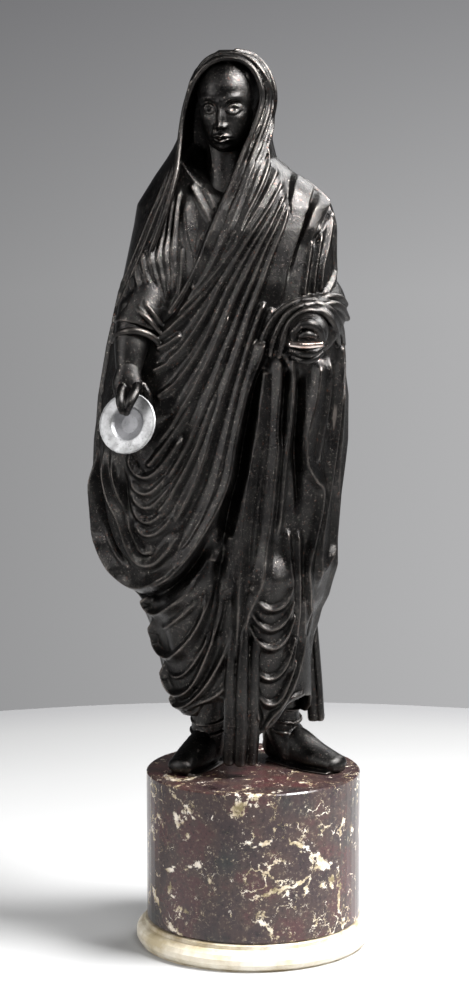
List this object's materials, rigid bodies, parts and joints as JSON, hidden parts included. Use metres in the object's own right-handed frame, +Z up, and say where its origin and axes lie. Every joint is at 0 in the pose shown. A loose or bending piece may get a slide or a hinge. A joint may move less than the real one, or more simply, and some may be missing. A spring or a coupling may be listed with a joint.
{
  "type": "draped standing figure on a drum base",
  "caption": "Standing man in a toga drawn over his head, holding a shallow dish, cast in dark bronze on a turned marble drum with a moulded ring.",
  "frame": {"origin": "centre of the underside of the base ring, on the drum's axis", "axes": "+Z up along the drum's axis, -Y towards the viewer the figure faces, +X to that viewer's right"},
  "size_m": [0.1636, 0.1436, 0.5215],
  "materials": {
    "bronze": "cast bronze, waxed dark brown patina, worn on the high places",
    "silver": "pale silvered metal, satin",
    "red_marble": "polished purple-red marble with cream veins",
    "cream_marble": "polished cream marble, slightly grimy"
  },
  "bodies": {
    "root": {"bronze_figure": "bronze", "patera": "silver", "marble_drum": "red_marble", "base_ring": "cream_marble"}
  },
  "joints": []
}
